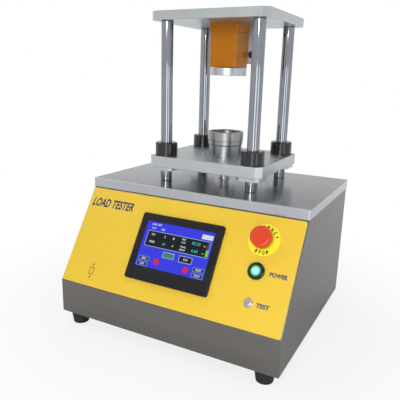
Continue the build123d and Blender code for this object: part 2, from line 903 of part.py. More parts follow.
cup_bore = can_dia / 2 + can_clearance
cup_floor = anvil_cup_height - cup_depth
anvil_cup_outline = [
    (anvil_bore, 0),
    (anvil_base_dia / 2, 0),
    (anvil_neck_dia / 2, anvil_groove_width),
    (anvil_neck_dia / 2, anvil_neck_height - anvil_groove_width),
    (anvil_neck_dia / 2 - anvil_groove, anvil_neck_height - anvil_groove_width),
    (anvil_neck_dia / 2 - anvil_groove, anvil_neck_height),
    (anvil_cup_dia / 2 - anvil_groove, anvil_neck_height),
    (anvil_cup_dia / 2, anvil_neck_height + anvil_groove),
    (anvil_cup_dia / 2, anvil_cup_height - edge_break),
    (anvil_cup_dia / 2 - edge_break, anvil_cup_height),
    (cup_bore + cup_lead_in, anvil_cup_height),
    (cup_bore, anvil_cup_height - cup_lead_in),
    (cup_bore, cup_floor),
    (anvil_screw_head_dia / 2 + slip_clearance, cup_floor),
    (anvil_screw_head_dia / 2 + slip_clearance, cup_floor - anvil_screw_head_height),
    (anvil_bore, cup_floor - anvil_screw_head_height),
]
with BuildPart() as anvil_cup:
    add(turned(tower_level(anvil_neck_z), anvil_cup_outline))
write_piece(anvil_cup, "anvil_cup")

# Ram: hollow, flanged under the moving plate, running in the bush
guide_bottom = body_top - guide_block_height
nut_top = guide_bottom - platform_travel - nut_below_guide
ram_outline = [
    (ram_bore_dia / 2, nut_top - platform_bottom),
    (ram_dia / 2, nut_top - platform_bottom),
    (ram_dia / 2, -ram_flange_thickness),
    (ram_flange_dia / 2, -ram_flange_thickness),
    (ram_flange_dia / 2, 0),
    (ram_bore_dia / 2, 0),
]
with BuildPart() as ram:
    add(turned(tower_level(platform_bottom), ram_outline))
    with Locations(underside(0, tower_y, platform_bottom - ram_flange_thickness)):
        with PolarLocations(ram_screw_circle / 2, 4):
            Hole(ram_screw_dia / 2 + slip_clearance, ram_flange_thickness)
write_piece(ram, "ram")

# Platform screws: one through the anvil, four through the ram's flange and four in each bearing's
with BuildPart() as platform_screws:
    head_seat = anvil_neck_z + cup_floor - anvil_screw_head_height
    anvil_screw = cap_screw(
        anvil_screw_dia,
        head_seat - platform_top + anvil_screw_grip,
        anvil_screw_head_dia,
        anvil_screw_head_height,
        anvil_screw_socket,
    )
    add(placed(anvil_screw, tower_level(head_seat)))
    ram_screw = cap_screw(
        ram_screw_dia,
        ram_flange_thickness + ram_screw_grip,
        ram_screw_head_dia,
        ram_screw_head_height,
    )
    with Locations(underside(0, tower_y, platform_bottom - ram_flange_thickness)):
        with PolarLocations(ram_screw_circle / 2, 4):
            add(ram_screw)
    bearing_screw_seat = platform_bottom - bearing_flange_thickness + bearing_screw_head_height
    bearing_screw = cap_screw(
        bearing_screw_dia,
        platform_bottom - bearing_screw_seat + bearing_screw_grip,
        bearing_screw_head_dia,
        bearing_screw_head_height,
    )
    for x, y in column_spots.values():
        with Locations(underside(x, y, bearing_screw_seat)):
            with PolarLocations(bearing_screw_circle / 2, 4, start_angle=45):
                add(bearing_screw)
write_piece(platform_screws, "platform_screws")

nut_outline = [
    (screw_dia / 2 + running_clearance, -nut_flange_thickness - nut_length),
    (nut_dia / 2, -nut_flange_thickness - nut_length),
    (nut_dia / 2, -nut_flange_thickness),
    (nut_flange_dia / 2, -nut_flange_thickness),
    (nut_flange_dia / 2, 0),
    (screw_dia / 2 + running_clearance, 0),
]
with BuildPart() as ball_nut:
    add(turned(tower_level(nut_top), nut_outline))
write_piece(ball_nut, "ball_nut")

# Guide block and bush under the console plate
with BuildPart() as guide_block:
    with BuildSketch(tower_level(guide_bottom)):
        Rectangle(guide_screw_span + 2 * guide_block_margin, guide_block_depth)
        Circle(bush_dia / 2 + slip_clearance, mode=Mode.SUBTRACT)
    extrude(amount=guide_block_height)
    with BuildSketch(tower_level(body_top)):
        with GridLocations(guide_screw_span, 0, 2, 1):
            Circle(post_screw_dia / 2 + slip_clearance)
    extrude(amount=-(post_screw_length - plate_thickness), mode=Mode.SUBTRACT)
write_piece(guide_block, "guide_block")

bush_outline = [
    (ram_dia / 2 + running_clearance, guide_bottom - plate_top),
    (bush_dia / 2, guide_bottom - plate_top),
    (bush_dia / 2, 0),
    (ram_dia / 2 + running_clearance, 0),
]
with BuildPart() as ram_bush:
    add(turned(tower_level(plate_top), bush_outline))
write_piece(ram_bush, "ram_bush")

# Base plate of the lift on its posts
nut_bottom = nut_top - nut_flange_thickness - nut_length
base_top = nut_bottom - thrust_block_gap - thrust_block_height
base_bottom = base_top - base_plate_thickness
with BuildPart() as base_plate:
    with BuildSketch(tower_level(base_bottom)):
        with Locations(((base_plate_right - base_plate_left) / 2, 0)):
            Rectangle(base_plate_right + base_plate_left, post_span_y + 2 * base_plate_margin)
        Circle(thrust_bearing_dia / 2, mode=Mode.SUBTRACT)
        with Locations((drive_spacing, 0)):
            Circle(motor_shaft_bore / 2, mode=Mode.SUBTRACT)
        with GridLocations(post_span_x, post_span_y, 2, 2):
            Circle(post_screw_dia / 2 + slip_clearance, mode=Mode.SUBTRACT)
    extrude(amount=base_plate_thickness)
write_piece(base_plate, "base_plate")

with BuildPart() as hanger_posts:
    with BuildSketch(tower_level(base_top)):
        with GridLocations(post_span_x, post_span_y, 2, 2):
            Circle(post_dia / 2)
            Circle(post_screw_dia / 2 + slip_clearance, mode=Mode.SUBTRACT)
    extrude(amount=body_top - base_top)
write_piece(hanger_posts, "hanger_posts")

# Lift screws: flush in the console plate and in the base plate
with BuildPart() as lift_screws:
    flush_screw = cap_screw(
        post_screw_dia,
        post_screw_length - post_screw_head_height,
        post_screw_head_dia,
        post_screw_head_height,
    )
    with Locations(tower_level(plate_top - post_screw_head_height)):
        with GridLocations(post_span_x, post_span_y, 2, 2):
            add(flush_screw)
        with GridLocations(guide_screw_span, 0, 2, 1):
            add(flush_screw)
    with Locations(underside(0, tower_y, base_bottom)):
        with GridLocations(post_span_x, post_span_y, 2, 2):
            add(flush_screw)
write_piece(lift_screws, "lift_screws")

# Thrust block with its bearing, and the screw that turns in it
with BuildPart() as thrust_block:
    with BuildSketch(tower_level(base_top)):
        Rectangle(thrust_block_width, thrust_block_width)
        Circle(thrust_bearing_dia / 2 + slip_clearance, mode=Mode.SUBTRACT)
    extrude(amount=thrust_block_height)
write_piece(thrust_block, "thrust_block")

with BuildPart() as thrust_bearing:
    with BuildSketch(tower_level(base_top)):
        Circle(thrust_bearing_dia / 2)
        Circle(screw_journal_dia / 2 + running_clearance, mode=Mode.SUBTRACT)
    extrude(amount=thrust_bearing_height)
write_piece(thrust_bearing, "thrust_bearing")

pulley_top = base_bottom - pulley_gap
pulley_bottom = pulley_top - pulley_height
screw_top = nut_top + platform_travel + screw_over_nut
screw_outline = [
    (0, pulley_bottom),
    (screw_journal_dia / 2, pulley_bottom),
    (screw_journal_dia / 2, base_top + thrust_bearing_height),
    (screw_dia / 2, base_top + thrust_bearing_height),
    (screw_dia / 2, screw_top),
    (0, screw_top),
]
with BuildPart() as ball_screw:
    add(turned(tower_level(0), screw_outline))
write_piece(ball_screw, "ball_screw")


def toothed_pulley(plane, outer_dia, teeth, bore_dia):
    """A belt pulley between two flanges, with its teeth standing under the belt."""
    with BuildPart() as pulley:
        with BuildSketch(plane):
            Circle(outer_dia / 2 - tooth_depth)
            with PolarLocations(outer_dia / 2 - tooth_depth, teeth):
                Rectangle(2 * tooth_depth, tooth_width)
            Circle(bore_dia / 2, mode=Mode.SUBTRACT)
        extrude(amount=pulley_height)
        for height in (0, pulley_height - pulley_flange_thickness):
            with BuildSketch(plane.offset(height)):
                Circle(outer_dia / 2 + pulley_flange)
                Circle(bore_dia / 2, mode=Mode.SUBTRACT)
            extrude(amount=pulley_flange_thickness)
    return pulley.part


# Belt drive: pulley on the screw, pulley on the motor, belt around both
motor_axis = Plane(origin=(drive_spacing, tower_y, pulley_bottom))
motor_teeth = round(pulley_teeth * motor_pulley_dia / screw_pulley_dia)
with BuildPart() as screw_pulley:
    add(toothed_pulley(tower_level(pulley_bottom), screw_pulley_dia, pulley_teeth, screw_journal_dia))
write_piece(screw_pulley, "screw_pulley")

with BuildPart() as motor_pulley:
    add(toothed_pulley(motor_axis, motor_pulley_dia, motor_teeth, motor_shaft_dia))
write_piece(motor_pulley, "motor_pulley")

with BuildPart() as motor_shaft:
    with BuildSketch(motor_axis):
        Circle(motor_shaft_dia / 2)
    extrude(amount=base_top - pulley_bottom)
write_piece(motor_shaft, "motor_shaft")


def belt_loop(growth):
    """The outline around both pulleys, grown by a distance: two arcs and two straight runs."""
    big = screw_pulley_dia / 2 + growth
    small = motor_pulley_dia / 2 + growth
    lean = math.acos((big - small) / drive_spacing)
    start = (big * math.cos(lean), big * math.sin(lean))
    end = (drive_spacing + small * math.cos(lean), small * math.sin(lean))
    with BuildLine() as loop:
        upper = Line(start, end)
        tip = ThreePointArc(upper @ 1, (drive_spacing + small, 0), (end[0], -end[1]))
        lower = Line(tip @ 1, (start[0], -start[1]))
        ThreePointArc(lower @ 1, (-big, 0), start)
    return loop.line


with BuildPart() as timing_belt:
    with BuildSketch(tower_level(pulley_bottom + pulley_flange_thickness + belt_side_gap)):
        make_face(belt_loop(belt_gap + belt_thickness))
        make_face(belt_loop(belt_gap), mode=Mode.SUBTRACT)
    extrude(amount=belt_width)
write_piece(timing_belt, "timing_belt")

with BuildPart() as drive_motor:
    with BuildSketch(Plane(origin=(drive_spacing, tower_y, base_top))):
        RectangleRounded(motor_width, motor_width, motor_corner)
    extrude(amount=motor_height)
write_piece(drive_motor, "drive_motor")

# Electrics on the bottom plate
floor_level = body_bottom + 2 * sheet
driver_x = base_plate_right + driver_gap + driver_depth / 2
boxes = {
    "power_supply": ((supply_x, supply_y), (supply_width, supply_depth, supply_height)),
    "motor_driver": ((driver_x, tower_y), (driver_depth, driver_width, driver_height)),
    "controller": ((controller_x, controller_y), (controller_width, controller_depth, controller_height)),
}
for name, (spot, size) in boxes.items():
    with BuildPart() as electric_box:
        with BuildSketch(Plane.XY.offset(floor_level)):
            with Locations(spot):
                Rectangle(size[0], size[1])
        extrude(amount=size[2])
        chamfer(electric_box.faces().sort_by(Axis.Z)[-1].edges(), edge_break)
    write_piece(electric_box, name)

# Screen: bezel on the overlay, glass behind its window, box through the cut-out, clamps behind
with BuildPart() as screen_bezel:
    with BuildSketch(on_slope(0, screen_drop)):
        RectangleRounded(screen_width, screen_height, screen_corner)
    extrude(amount=bezel_height)
    chamfer(screen_bezel.edges().group_by(out_of_slope)[-1], bezel_edge)
    with BuildSketch(on_slope(0, screen_drop)):
        with Locations((0, display_rise)):
            Rectangle(display_width, display_height)
    extrude(amount=bezel_height, mode=Mode.SUBTRACT)
    with BuildSketch(on_slope(0, screen_drop)):
        with Locations((0, display_rise)):
            Rectangle(display_width + 2 * glass_lap, display_height + 2 * glass_lap)
    extrude(amount=bezel_height - display_recess, mode=Mode.SUBTRACT)
write_piece(screen_bezel, "screen_bezel")

with BuildPart() as screen_glass:
    with BuildSketch(on_slope(0, screen_drop, bezel_height - display_recess)):
        with Locations((0, display_rise)):
            Rectangle(
                display_width + 2 * (glass_lap - panel_clearance),
                display_height + 2 * (glass_lap - panel_clearance),
            )
    extrude(amount=-display_glass)
write_piece(screen_glass, "screen_glass")

with BuildPart() as screen_housing:
    with BuildSketch(on_slope(0, screen_drop)):
        Rectangle(screen_box_width, screen_box_height)
    extrude(amount=-screen_box_depth)
    with BuildSketch(on_slope(0, screen_drop)):
        with Locations((0, display_rise)):
            Rectangle(
                display_width + 2 * (glass_lap - panel_clearance),
                display_height + 2 * (glass_lap - panel_clearance),
            )
    extrude(amount=bezel_height - display_recess - display_glass)
write_piece(screen_housing, "screen_housing")

with BuildPart() as screen_clamps:
    with BuildSketch(slope.offset(-sheet)):
        with Locations((0, -screen_drop)):
            for side in (-1, 1):
                with Locations((0, side * (screen_box_height + clamp_height) / 2)):
                    with GridLocations(clamp_spacing, 0, 2, 1):
                        Rectangle(clamp_width, clamp_height)
    extrude(amount=-clamp_reach)
write_piece(screen_clamps, "screen_clamps")

# Stop button: yellow ring, collar, stem that is pushed, head that twists on the stem
stop_axis = on_slope(control_x, stop_drop)
inner_face = overlay_thickness + sheet
stem_clear = stop_stem_dia / 2 + running_clearance
with BuildPart() as stop_ring:
    with BuildSketch(stop_axis):
        Circle(stop_ring_dia / 2)
        Circle(round_cut_dia / 2, mode=Mode.SUBTRACT)
    extrude(amount=stop_ring_thickness)
write_piece(stop_ring, "stop_ring")

barrel_radius = round_cut_dia / 2 - slip_clearance
collar_outline = [
    (stem_clear, -inner_face - button_body_depth),
    (barrel_radius, -inner_face - button_body_depth),
    (barrel_radius, stop_ring_thickness),
    (stop_collar_dia / 2, stop_ring_thickness),
    (stop_collar_dia / 2, stop_collar_height - edge_break),
    (stop_collar_dia / 2 - edge_break, stop_collar_height),
    (stem_clear, stop_collar_height),
]
with BuildPart() as stop_collar:
    add(turned(stop_axis, collar_outline))
write_piece(stop_collar, "stop_collar")

head_bottom = stop_head_lift
head_top = stop_head_lift + stop_head_height
stem_top = head_bottom + stop_stem_seat
body_end = -inner_face - button_body_depth
stem_bottom = body_end + stop_travel + button_stop_gap
with BuildPart() as stop_stem:
    with BuildSketch(on_slope(control_x, stop_drop, stem_bottom)):
        Circle(stop_stem_dia / 2)
    extrude(amount=stem_top - stem_bottom)
write_piece(stop_stem, "stop_stem")

with BuildPart() as stop_head:
    with BuildSketch(on_slope(control_x, stop_drop, head_bottom)):
        Circle(stop_head_dia / 2)
    extrude(amount=stop_head_height)
    fillet(stop_head.edges().group_by(out_of_slope)[-1], stop_head_edge)
    with BuildSketch(on_slope(control_x, stop_drop, head_top)):
        Circle(stop_dish_dia / 2)
    extrude(amount=-stop_dish_depth, mode=Mode.SUBTRACT, taper=stop_dish_taper)
    with BuildSketch(on_slope(control_x, stop_drop, head_bottom)):
        Circle(stop_head_dia / 2 - stop_skirt_wall)
        Circle(stop_stem_dia / 2 + stop_skirt_wall, mode=Mode.SUBTRACT)
    extrude(amount=stop_skirt_depth, mode=Mode.SUBTRACT)
    with BuildSketch(on_slope(control_x, stop_drop, head_bottom)):
        Circle(stem_clear)
    extrude(amount=stop_stem_seat + running_clearance, mode=Mode.SUBTRACT)
write_piece(stop_head, "stop_head")

# Behind the slope: a ring nut against the sheet and a contact block for each button
button_rears = [
    (stop_drop, button_nut_dia, round_cut_dia, button_body_depth, contact_block_width, contact_block_depth),
    (power_drop, button_nut_dia, round_cut_dia, button_body_depth, contact_block_width, contact_block_depth),
    (test_drop, test_nut_dia, test_cut_dia, test_body_depth, test_block_width, test_block_depth),
]
with BuildPart() as button_nuts:
    for drop, nut_width, hole, body_depth, block_width, block_depth in button_rears:
        with BuildSketch(on_slope(control_x, drop, -inner_face)):
            Circle(nut_width / 2)
            Circle(hole / 2, mode=Mode.SUBTRACT)
        extrude(amount=-button_nut_height)
write_piece(button_nuts, "button_nuts")

with BuildPart() as contact_blocks:
    for drop, nut_width, hole, body_depth, block_width, block_depth in button_rears:
        with BuildSketch(on_slope(control_x, drop, -inner_face - body_depth)):
            Rectangle(block_width, block_width)
        extrude(amount=-block_depth)
write_piece(contact_blocks, "contact_blocks")

# Power button: dark bezel with a lit lens that is pushed
power_axis = on_slope(control_x, power_drop)
lens_clear = power_lens_dia / 2 + running_clearance
lens_top = power_bezel_height - power_lens_recess
lens_back = lens_top - power_lens_thickness
lens_seat = lens_back - power_travel - lens_stop_gap
power_bezel_outline = [
    (stem_clear, -inner_face - button_body_depth),
    (barrel_radius, -inner_face - button_body_depth),
    (barrel_radius, 0),
    (power_bezel_dia / 2, 0),
    (power_bezel_dia / 2, power_bezel_height - power_bezel_edge),
    (power_bezel_dia / 2 - power_bezel_edge, power_bezel_height),
    (lens_clear, power_bezel_height),
    (lens_clear, lens_seat),
    (stem_clear, lens_seat),
]
with BuildPart() as power_bezel:
    add(turned(power_axis, power_bezel_outline))
write_piece(power_bezel, "power_bezel")

plunger_bottom = body_end + power_travel + button_stop_gap
power_lens_outline = [
    (0, plunger_bottom),
    (stop_stem_dia / 2, plunger_bottom),
    (stop_stem_dia / 2, lens_back),
    (power_lens_dia / 2, lens_back),
    (power_lens_dia / 2, lens_top),
    (0, lens_top),
]
with BuildPart() as power_lens:
    add(turned(power_axis, power_lens_outline))
write_piece(power_lens, "power_lens")

# Test button: steel bezel with a steel plunger
test_axis = on_slope(control_x, test_drop)
test_clear = test_plunger_dia / 2 + running_clearance
test_bezel_outline = [
    (test_clear, -inner_face - test_body_depth),
    (test_body_dia / 2, -inner_face - test_body_depth),
    (test_body_dia / 2, 0),
    (test_bezel_dia / 2, 0),
    (test_bezel_dia / 2, test_bezel_height - test_bezel_edge),
    (test_bezel_dia / 2 - test_bezel_edge, test_bezel_height),
    (test_clear, test_bezel_height),
]
with BuildPart() as test_bezel:
    add(turned(test_axis, test_bezel_outline))
write_piece(test_bezel, "test_bezel")

plunger_top = test_bezel_height + test_plunger_rise
pin_bottom = -inner_face - test_body_depth + test_travel + button_stop_gap
with BuildPart() as test_plunger:
    with BuildSketch(on_slope(control_x, test_drop, pin_bottom)):
        Circle(test_plunger_dia / 2)
    extrude(amount=plunger_top - pin_bottom)
    fillet(test_plunger.edges().group_by(out_of_slope)[-1], test_plunger_rise)
write_piece(test_plunger, "test_plunger")

# Mains inlet with its socket, and the rocker switch above it
inlet_plane = Plane(origin=(inlet_x, panel_rear, inlet_z), x_dir=(-1, 0, 0), z_dir=(0, 1, 0))
with BuildPart() as mains_inlet:
    with BuildSketch(inlet_plane):
        RectangleRounded(inlet_width, inlet_height, inlet_corner)
    extrude(amount=inlet_flange)
    with BuildSketch(inlet_plane):
        Rectangle(inlet_body_width, inlet_body_height)
    extrude(amount=-inlet_body_depth)
    with BuildSketch(inlet_plane.offset(inlet_flange)):
        with Locations((0, -socket_drop)):
            Rectangle(socket_width, socket_height)
    extrude(amount=-socket_depth, mode=Mode.SUBTRACT)
    with BuildSketch(inlet_plane.offset(inlet_flange)):
        with Locations((0, rocker_rise)):
            Rectangle(rocker_width + 2 * slip_clearance, rocker_height + 2 * rocker_gap)
    extrude(amount=-rocker_pocket_depth, mode=Mode.SUBTRACT)
    rocker_centre = (inlet_x, panel_rear + inlet_flange - rocker_pivot_depth, inlet_z + rocker_rise)
    with BuildSketch(Plane(origin=rocker_centre, x_dir=(0, 1, 0), z_dir=(1, 0, 0))):
        Circle(rocker_pin_dia / 2 + running_clearance)
    extrude(amount=rocker_width / 2 + rocker_pin_reach + slip_clearance, both=True, mode=Mode.SUBTRACT)
write_piece(mains_inlet, "mains_inlet")

tilt = math.radians(rocker_tilt)
rocker_side = Plane(origin=rocker_centre, x_dir=(0, math.cos(tilt), math.sin(tilt)), z_dir=(1, 0, 0))
rocker_half = rocker_height / 2 - rocker_gap
with BuildPart() as mains_rocker:
    with BuildSketch(rocker_side):
        with BuildLine():
            Polyline(
                (rocker_pivot_depth, rocker_half),
                (rocker_pivot_depth - rocker_dish, 0),
                (rocker_pivot_depth, -rocker_half),
                (-rocker_depth + rocker_dish, -rocker_half / 2),
                (-rocker_depth, 0),
                (-rocker_depth + rocker_dish, rocker_half / 2),
                close=True,
            )
        make_face()
    extrude(amount=rocker_width / 2, both=True)
    with BuildSketch(rocker_side):
        Circle(rocker_pin_dia / 2)
    extrude(amount=rocker_width / 2 + rocker_pin_reach, both=True)
write_piece(mains_rocker, "mains_rocker")
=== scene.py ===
import json
import math

import bmesh
import bpy
from mathutils import Matrix, Vector


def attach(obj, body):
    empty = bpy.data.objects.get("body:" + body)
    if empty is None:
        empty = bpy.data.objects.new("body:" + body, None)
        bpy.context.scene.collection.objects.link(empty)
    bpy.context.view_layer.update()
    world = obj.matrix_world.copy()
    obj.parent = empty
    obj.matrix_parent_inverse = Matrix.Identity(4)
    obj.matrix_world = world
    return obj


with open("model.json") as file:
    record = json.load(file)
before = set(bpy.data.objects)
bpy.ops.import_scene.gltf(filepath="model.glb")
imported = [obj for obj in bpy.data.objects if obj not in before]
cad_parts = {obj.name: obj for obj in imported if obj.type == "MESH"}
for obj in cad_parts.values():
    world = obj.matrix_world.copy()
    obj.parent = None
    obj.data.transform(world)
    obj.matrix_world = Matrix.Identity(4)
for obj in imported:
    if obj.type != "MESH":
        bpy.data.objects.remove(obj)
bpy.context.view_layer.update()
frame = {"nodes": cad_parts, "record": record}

MM = 0.001

# The console's slope: its two edges, the way up it and the way out of it
SLOPE_TOP = Vector((0.0, -97.0, 277.0)) * MM
SLOPE_BOTTOM = Vector((0.0, -213.5, 96.0)) * MM
SLOPE_UP = (SLOPE_TOP - SLOPE_BOTTOM).normalized()
SLOPE_OUT = Vector((0.0, -SLOPE_UP.z, SLOPE_UP.y))
OVERLAY_THICKNESS = 1.0

# The controls on the slope, as millimetres to the right of its middle and down from its upper edge
CONTROL_X = 171.5
STOP_DROP = 50.3
POWER_DROP = 109.1
SCREEN_DROP = 108.2

# Printing in millimetres: its thickness, and a capital's height as a share of the font's size
PRINT_THICKNESS = 0.06
CAPITAL_SHARE = 0.729
CURVE_STEPS = 4
SCREEN_LETTER_ASPECT = 0.62
SCREEN_LETTER_WEIGHT = 0.1

# Words on the ring: a letter's height, shape, weight and distance from the middle, and the ring's thickness
RING_LETTER = 6.2
RING_LETTER_ASPECT = 0.8
RING_LETTER_WEIGHT = 0.48
RING_LETTER_ROOT = 21.2
RING_THICKNESS = 1.2

# The lit area of the screen, how far it sits above the bezel's middle, and the glass above the overlay
DISPLAY_WIDTH = 154.0
DISPLAY_HEIGHT = 93.0
DISPLAY_RISE = 5.7
GLASS_HEIGHT = 4.8

# The power button's lens: its face above the overlay, and how far from its middle the colours reach
LENS_FACE = 5.0
LENS_REACH = 12.0

# Camera: place, turn from the front, tilt down, roll, and focal length in image widths
CAMERA_PLACE = Vector((0.45466, -0.91702, 0.52407))
CAMERA_TURN = math.radians(27.815)
CAMERA_TILT = math.radians(14.572)
CAMERA_ROLL = math.radians(1.496)
FOCAL_WIDTHS = 482.01 / 400.0
SENSOR = 36.0

# Floor in millimetres, its colour, and the distances in metres between which it turns white
FLOOR_SIDE = 60000.0
FLOOR_THICKNESS = 1.0
FLOOR_GAP = 0.01
FLOOR_COLOR = (0.78, 0.78, 0.79, 1.0)
FLOOR_FADE = (0.35, 2.0)
FLOOR_WHITE_SHARE = 0.8

# Room: the even light's colour and level, and the heights in degrees between which the ceiling turns grey
ROOM_COLOR = (0.96, 0.98, 1.0, 1.0)
ROOM_LEVEL = 0.34
BACKDROP_TOP = 8.6
CEILING_FROM = 15.0
CEILING_LEVEL = 0.32
WHITE = (1.0, 1.0, 1.0, 1.0)
BLACK = (0.0, 0.0, 0.0, 1.0)

# Lamps, all turned to one point: azimuth from the front, elevation, distance, width and height, level
LIT_POINT = Vector((0.0, 0.0, 0.3))
LAMPS = {
    "key": (14.0, 22.0, 2.0, (0.45, 0.6), 0.4),
    "strip_front": (23.0, -2.0, 1.15, (0.34, 0.62), 0.12),
    "strip_right": (63.0, -2.0, 1.15, (0.32, 0.6), 0.08),
    "left": (-75.0, 38.0, 2.4, (1.8, 1.8), 0.2),
    "top": (0.0, 82.0, 2.4, (1.6, 1.6), 0.12),
    "rear_right": (130.0, 44.0, 2.4, (1.8, 1.8), 0.2),
    "rear_left": (-140.0, 46.0, 2.4, (2.0, 2.0), 0.22),
}

# Texture: the noise's usual range, fine grain and broad clouds per metre, and depths in metres
NOISE_RANGE = (0.3, 0.7)
GRAIN_SCALE = 900.0
CLOUD_SCALE = 22.5
GRAIN_DEPTH = 0.00001
RUBBER_DEPTH = 0.00005
SCRATCH_DEPTH = 0.00002

# The screen's light: its fine grain per metre, the level of the darkest grain, and the gloss of the glass
PIXEL_SCALE = 2500.0
PIXEL_DIM = 0.92
GLASS_ROUGHNESS = 0.12


def linear(red, green, blue):
    """A colour given in display values from 0 to 255, as linear values."""
    out = []
    for value in (red, green, blue):
        share = value / 255.0
        out.append(share / 12.92 if share <= 0.04045 else ((share + 0.055) / 1.055) ** 2.4)
    return (*out, 1.0)


def on_panel(x, drop, height=0.0):
    """The placement of a point on the overlay's face: X right, Y up the slope, Z out of it."""
    right = Vector((1.0, 0.0, 0.0))
    rise = OVERLAY_THICKNESS + height
    place = SLOPE_TOP + (right * x - SLOPE_UP * drop + SLOPE_OUT * rise) * MM
    turn = Matrix((right, SLOPE_UP, SLOPE_OUT)).transposed().to_4x4()
    return Matrix.Translation(place) @ turn


# Shader nodes


def math_node(tree, operation, *values):
    """The result of a Math node whose values are sockets or numbers."""
    node = tree.nodes.new("ShaderNodeMath")
    node.operation = operation
    for socket, value in zip(node.inputs, values):
        if isinstance(value, bpy.types.NodeSocket):
            tree.links.new(value, socket)
        else:
            socket.default_value = value
    return node.outputs["Value"]


def map_range(tree, value, source, target, interpolation="LINEAR"):
    """A value moved from one range to another."""
    node = tree.nodes.new("ShaderNodeMapRange")
    node.interpolation_type = interpolation
    for name, number in zip(("From Min", "From Max", "To Min", "To Max"), (*source, *target)):
        node.inputs[name].default_value = number
    tree.links.new(value, node.inputs["Value"])
    return node.outputs["Result"]


def blend(tree, factor, dark, light):
    """A mix of two colours by a factor."""
    mix = tree.nodes.new("ShaderNodeMix")
    mix.data_type = "RGBA"
    mix.inputs[6].default_value = dark
    mix.inputs[7].default_value = light
    tree.links.new(factor, mix.inputs[0])
    return mix.outputs[2]


def noise(tree, stretch, detail=3.0):
    """Noise over the piece's own coordinates, stretched by a factor on each axis."""
    place = tree.nodes.new("ShaderNodeTexCoord")
    mapping = tree.nodes.new("ShaderNodeMapping")
    mapping.inputs["Scale"].default_value = stretch
    texture = tree.nodes.new("ShaderNodeTexNoise")
    texture.inputs["Scale"].default_value = 1.0
    texture.inputs["Detail"].default_value = detail
    tree.links.new(place.outputs["Object"], mapping.inputs["Vector"])
    tree.links.new(mapping.outputs["Vector"], texture.inputs["Vector"])
    return texture.outputs["Fac"]


# Materials


def new_material(name, color, metallic=0.0, roughness=0.5, level=0.5):
    """A material with its Principled shader, and the node tree for adding texture to it."""
    material = bpy.data.materials.new(name)
    material.use_nodes = True
    tree = material.node_tree
    shader = tree.nodes["Principled BSDF"]
    shader.inputs["Base Color"].default_value = color
    shader.inputs["Metallic"].default_value = metallic
    shader.inputs["Roughness"].default_value = roughness
    shader.inputs["Specular IOR Level"].default_value = level
    return material, tree, shader


def add_texture(tree, shader, wide, fine, colors, rough, depth):
    """Vary colour and roughness by the wide noise, and raise the surface by the fine noise in metres."""
    tree.links.new(blend(tree, wide, *colors), shader.inputs["Base Color"])
    tree.links.new(map_range(tree, wide, NOISE_RANGE, rough), shader.inputs["Roughness"])
    bump = tree.nodes.new("ShaderNodeBump")
    bump.inputs["Strength"].default_value = 1.0
    bump.inputs["Distance"].default_value = depth
    tree.links.new(fine, bump.inputs["Height"])
    tree.links.new(bump.outputs["Normal"], shader.inputs["Normal"])


def brushed(name, dark, light, stretch, rough=(0.28, 0.42)):
    """Metal with fine scratches along one direction."""
    colors = (linear(*dark), linear(*light))
    material, tree, shader = new_material(name, colors[1], metallic=1.0)
    scratches = noise(tree, stretch, detail=6.0)
    add_texture(tree, shader, scratches, scratches, colors, rough, SCRATCH_DEPTH)
    return material


def grained(name, dark, light, metallic, rough, level=0.5, depth=GRAIN_DEPTH):
    """A surface with an even fine grain."""
    colors = (linear(*dark), linear(*light))
    material, tree, shader = new_material(name, colors[1], metallic=metallic, level=level)
    grain = noise(tree, (GRAIN_SCALE, GRAIN_SCALE, GRAIN_SCALE))
    clouds = noise(tree, (CLOUD_SCALE, CLOUD_SCALE, CLOUD_SCALE), detail=4.0)
    add_texture(tree, shader, clouds, grain, colors, rough, depth)
    return material


def glowing(name, color, strength):
    """A lit area of the screen, under the gloss of its glass."""
    material, tree, shader = new_material(name, BLACK, roughness=GLASS_ROUGHNESS)
    light = linear(*color)
    dim = [PIXEL_DIM * value for value in light[:3]] + [1.0]
    pixels = noise(tree, (PIXEL_SCALE, PIXEL_SCALE, PIXEL_SCALE))
    tree.links.new(blend(tree, pixels, dim, light), shader.inputs["Emission Color"])
    shader.inputs["Emission Strength"].default_value = strength
    return material


def lit_lens():
    """The power button's lens: bright in the middle and darker green towards its rim."""
    material, tree, shader = new_material("lens_green", linear(4, 28, 18), roughness=0.2)
    place = tree.nodes.new("ShaderNodeTexCoord")
    from_middle = tree.nodes.new("ShaderNodeVectorMath")
    from_middle.operation = "DISTANCE"
    from_middle.inputs[1].default_value = on_panel(CONTROL_X, POWER_DROP, LENS_FACE).translation
    tree.links.new(place.outputs["Object"], from_middle.inputs[0])
    ramp = tree.nodes.new("ShaderNodeValToRGB")
    ramp.color_ramp.elements[0].color = linear(216, 252, 240)
    ramp.color_ramp.elements[1].color = linear(0, 36, 22)
    for position, color in ((0.5, (176, 250, 222)), (0.66, (70, 214, 158)), (0.82, (8, 110, 70))):
        ramp.color_ramp.elements.new(position).color = linear(*color)
    reach = math_node(tree, "DIVIDE", from_middle.outputs["Value"], LENS_REACH * MM)
    tree.links.new(reach, ramp.inputs["Fac"])
    tree.links.new(ramp.outputs["Color"], shader.inputs["Emission Color"])
    shader.inputs["Emission Strength"].default_value = 1.0
    return material


